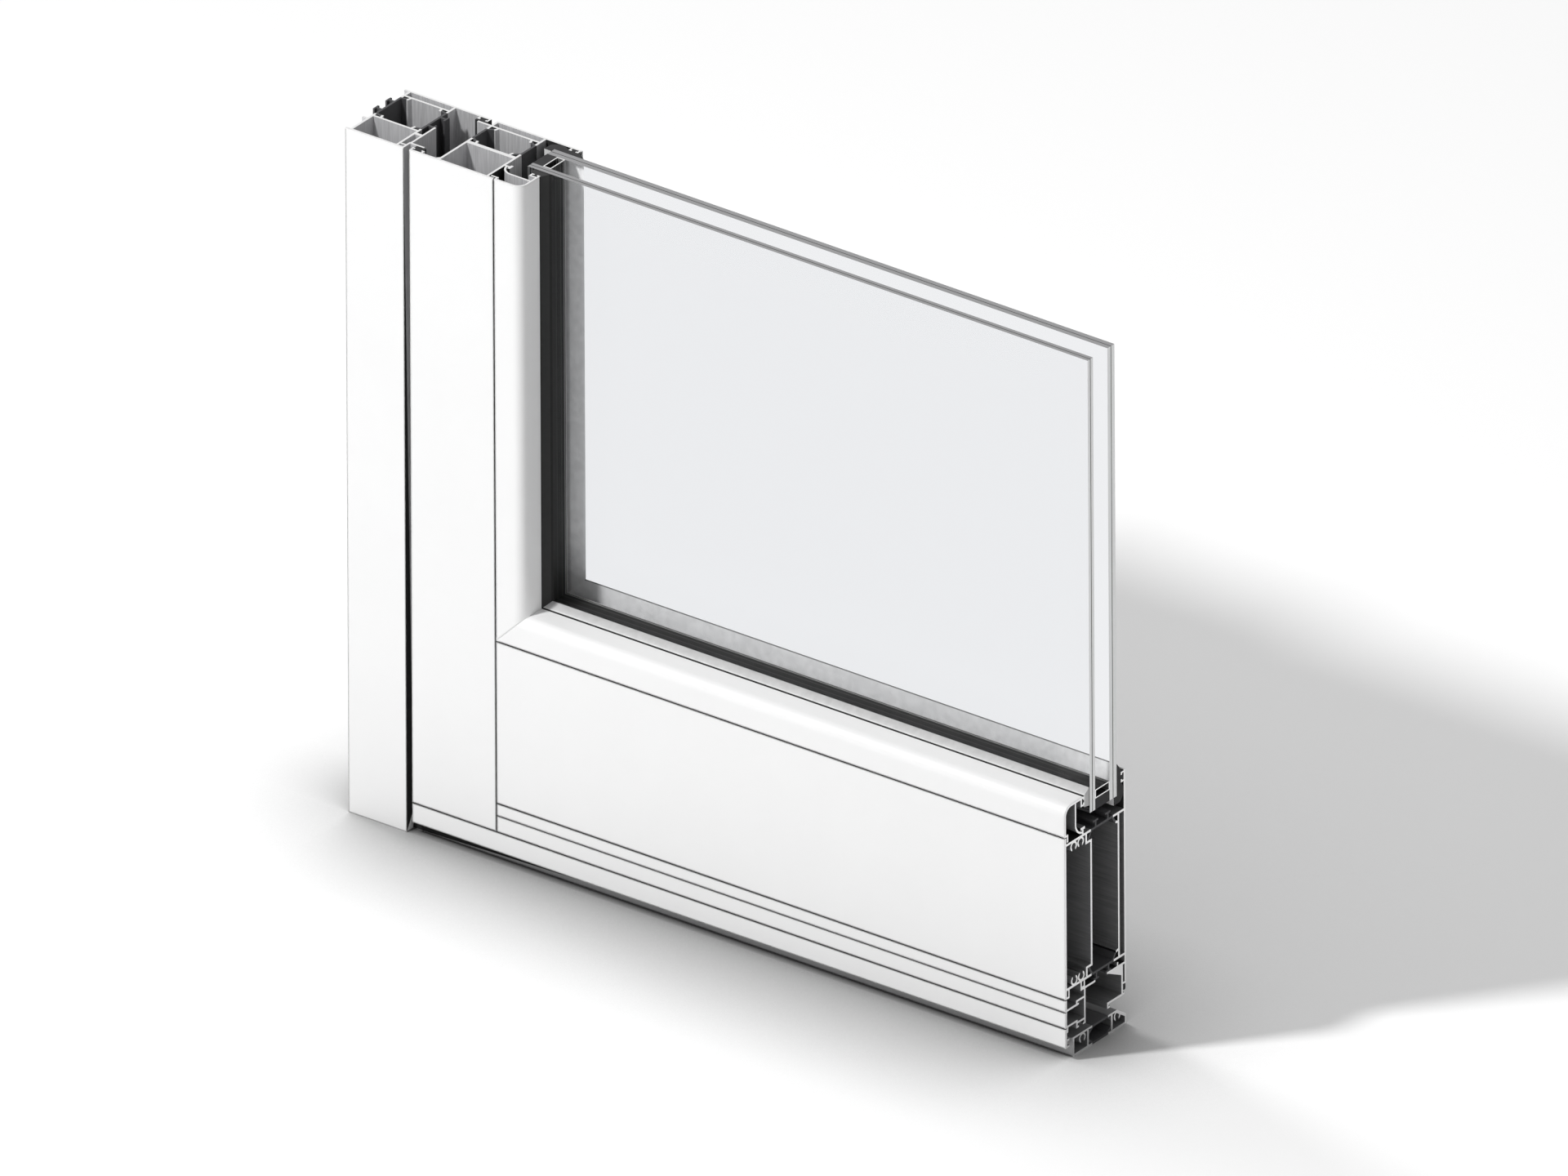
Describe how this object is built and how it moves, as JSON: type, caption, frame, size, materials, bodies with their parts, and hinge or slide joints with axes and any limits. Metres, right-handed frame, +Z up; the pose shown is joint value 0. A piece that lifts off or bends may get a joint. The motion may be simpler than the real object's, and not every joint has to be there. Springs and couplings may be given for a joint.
{
  "type": "tilt and turn window corner sample",
  "caption": "Cut-away lower corner of a white thermally broken aluminium tilt-and-turn leaf and frame, with kick rail, flat threshold, rounded bead and sealed double glazing.",
  "frame": {"origin": "on the floor below the middle of the sample, the bottom centre of its box", "axes": "+X along the width from the jamb to the cut end, +Y from the bead side into the depth, +Z up"},
  "size_m": [0.6414, 0.072, 0.554],
  "materials": {
    "white_coated_aluminium": "matt white powder coat",
    "grey_polyamide": "matt, glass-filled",
    "black_gasket": "matt black",
    "clear_glass": "polished, clear",
    "clear_interlayer": "clear film",
    "bare_aluminium": "satin",
    "black_sealant": "matt black",
    "block_plastic": "matt"
  },
  "bodies": {
    "root": {"jamb_front": "white_coated_aluminium", "jamb_rear": "white_coated_aluminium", "stile_front": "white_coated_aluminium", "stile_rear": "white_coated_aluminium", "rail_front": "white_coated_aluminium", "rail_rear": "white_coated_aluminium", "rail_front_foot": "white_coated_aluminium", "rail_rear_foot": "white_coated_aluminium", "drip_strip": "white_coated_aluminium", "bead_upright": "white_coated_aluminium", "bead_level": "white_coated_aluminium", "threshold_front": "white_coated_aluminium", "threshold_rear": "white_coated_aluminium", "jamb_thermal_bar_outer": "grey_polyamide", "jamb_thermal_bar_inner": "grey_polyamide", "stile_thermal_bar_outer": "grey_polyamide", "stile_thermal_bar_inner": "grey_polyamide", "rail_thermal_bar_lower": "grey_polyamide", "rail_thermal_bar_upper": "grey_polyamide", "threshold_thermal_bar_lower": "grey_polyamide", "threshold_thermal_bar_upper": "grey_polyamide", "jamb_rear_gasket": "black_gasket", "stile_front_gasket": "black_gasket", "front_glazing_gasket_upright": "black_gasket", "front_glazing_gasket_level": "black_gasket", "rear_glazing_gasket_upright": "black_gasket", "rear_glazing_gasket_level": "black_gasket", "rear_foot_seal": "black_gasket", "front_pane": "clear_glass", "rear_pane": "clear_glass", "front_interlayer": "clear_interlayer", "rear_interlayer": "clear_interlayer", "glazing_spacer": "bare_aluminium", "edge_sealant": "black_sealant", "setting_blocks": "block_plastic"}
  },
  "joints": []
}
